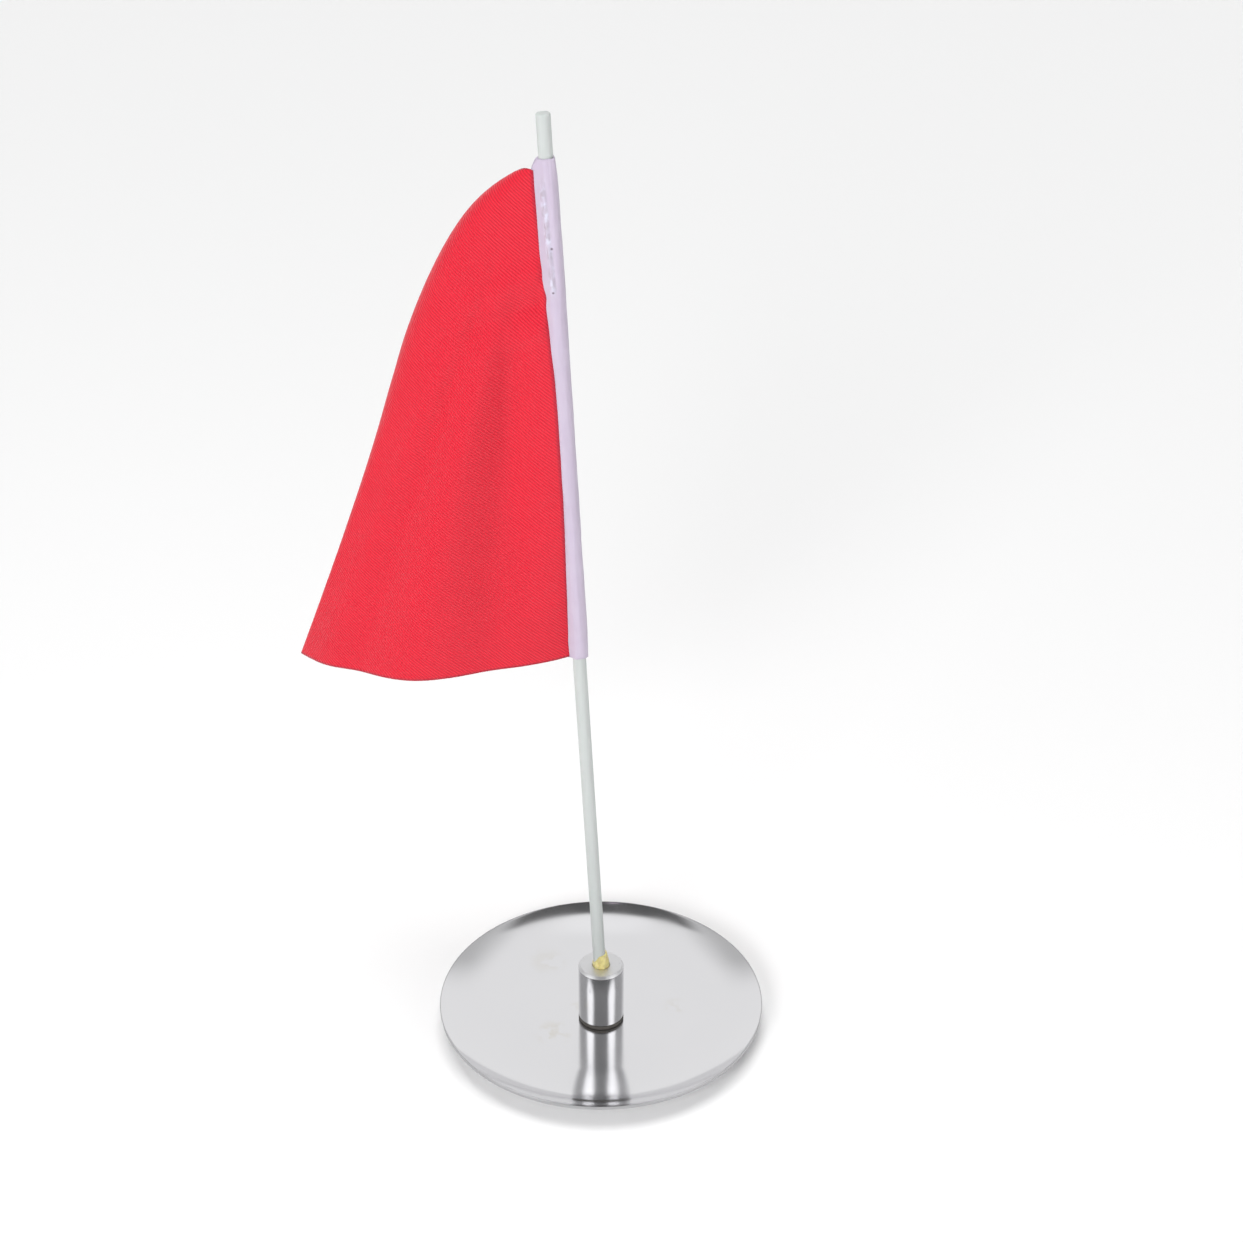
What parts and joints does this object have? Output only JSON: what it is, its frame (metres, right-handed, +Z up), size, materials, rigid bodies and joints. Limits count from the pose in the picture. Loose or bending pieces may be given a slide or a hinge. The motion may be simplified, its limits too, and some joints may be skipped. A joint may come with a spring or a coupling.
{
  "type": "desk flag stand",
  "caption": "Small cloth flag on a thin leaning pole, glued into a turned socket at the centre of a shallow dished metal base.",
  "frame": {"origin": "where the axis of the round base meets the surface that it stands on", "axes": "+Z up along the base's axis, -X the way the pole leans and the flag hangs, +Y the hollow side of the flag"},
  "size_m": [0.1433, 0.105, 0.3],
  "materials": {
    "stainless_steel": "satin, fine turning marks",
    "stud_steel": "bright zinc",
    "washer_rubber": "matt",
    "socket_aluminium": "bright turned",
    "yellow_resin": "glossy cured epoxy",
    "fibreglass": "pultruded, milky pale green",
    "white_satin": "satin weave, cool white",
    "clear_glue": "clear",
    "red_twill": "fine polyester twill",
    "sewing_thread": "spun polyester"
  },
  "bodies": {
    "stand_base": {"base_dish": "stainless_steel", "base_stud": "stud_steel", "socket_washer": "washer_rubber"},
    "flag_post": {"pole_socket": "socket_aluminium", "pole_adhesive": "yellow_resin", "flag_pole": "fibreglass", "header_sleeve": "white_satin", "sleeve_glue": "clear_glue", "flag_panel": "red_twill", "header_seam": "sewing_thread"}
  },
  "joints": [
    {"name": "post_turn", "type": "hinge", "parent": "stand_base", "child": "flag_post", "pos_m": [0, 0, 0.0024], "axis": [0, 0, 1], "range_deg": [-180, 180]}
  ]
}
